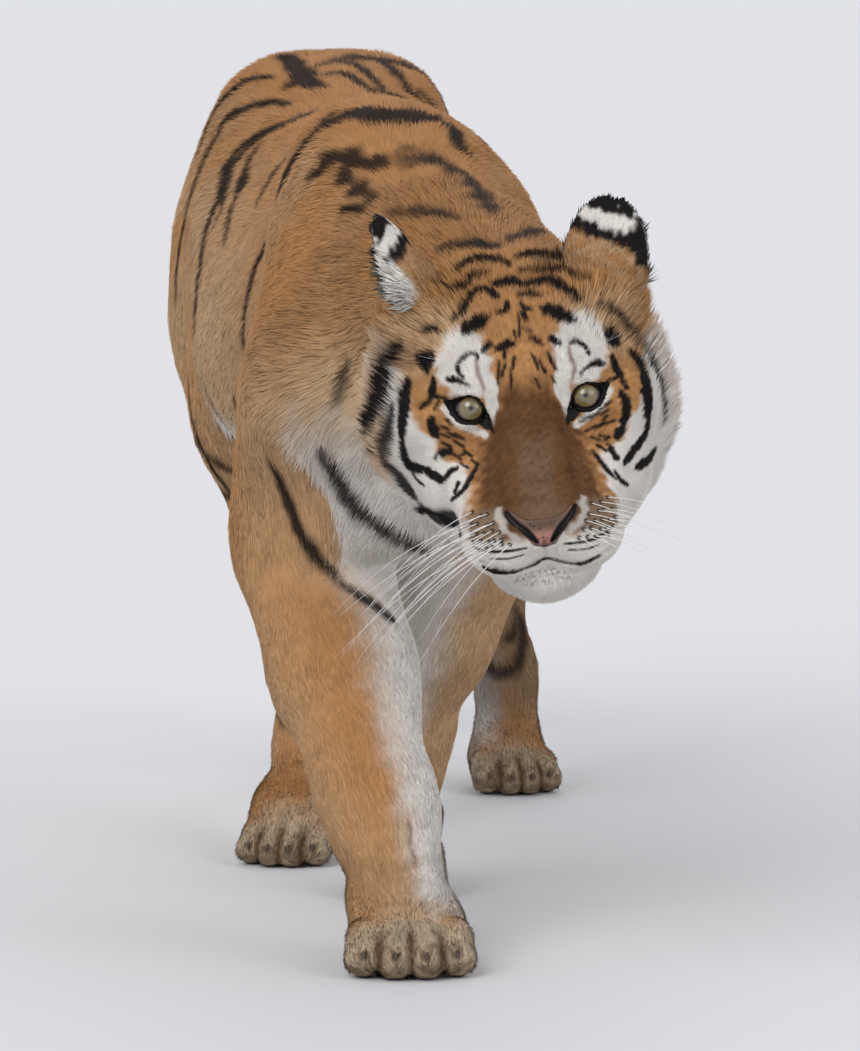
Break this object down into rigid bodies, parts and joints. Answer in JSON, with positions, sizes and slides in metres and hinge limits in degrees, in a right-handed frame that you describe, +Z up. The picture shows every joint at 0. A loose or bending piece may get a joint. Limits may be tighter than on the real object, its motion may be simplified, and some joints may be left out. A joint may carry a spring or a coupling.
{
  "type": "tiger",
  "caption": "Life-size still model of a walking Amur tiger, head lowered towards the viewer, as a natural history museum shows.",
  "frame": {"origin": "centre of the bounding box's base, on the floor between the feet", "axes": "+Z up, the head towards -Y, the animal's left side at +X"},
  "size_m": [0.5014, 2.2524, 0.9487],
  "materials": {
    "coat": "soft striped fur, orange above and white below",
    "eye": "wet and glossy",
    "nose": "pebbled, slightly damp",
    "claw": "smooth horn"
  },
  "bodies": {
    "root": {"ear_left": "coat", "ear_right": "coat", "eye_left": "eye", "eye_right": "eye", "nose": "nose", "head": "coat", "neck": "coat", "trunk": "coat", "tail_root": "coat", "tail_middle": "coat", "tail_tip": "coat", "front_right_upper": "coat", "front_right_lower": "coat", "front_right_paw": "coat", "front_right_claw_1": "claw", "front_right_claw_2": "claw", "front_right_claw_3": "claw", "front_right_claw_4": "claw", "front_left_upper": "coat", "front_left_lower": "coat", "front_left_paw": "coat", "front_left_claw_1": "claw", "front_left_claw_2": "claw", "front_left_claw_3": "claw", "front_left_claw_4": "claw", "hind_right_upper": "coat", "hind_right_lower": "coat", "hind_right_paw": "coat", "hind_right_claw_1": "claw", "hind_right_claw_2": "claw", "hind_right_claw_3": "claw", "hind_right_claw_4": "claw", "hind_left_upper": "coat", "hind_left_lower": "coat", "hind_left_paw": "coat", "hind_left_claw_1": "claw", "hind_left_claw_2": "claw", "hind_left_claw_3": "claw", "hind_left_claw_4": "claw", "front_left_dewclaw": "claw", "front_right_dewclaw": "claw"}
  },
  "joints": []
}
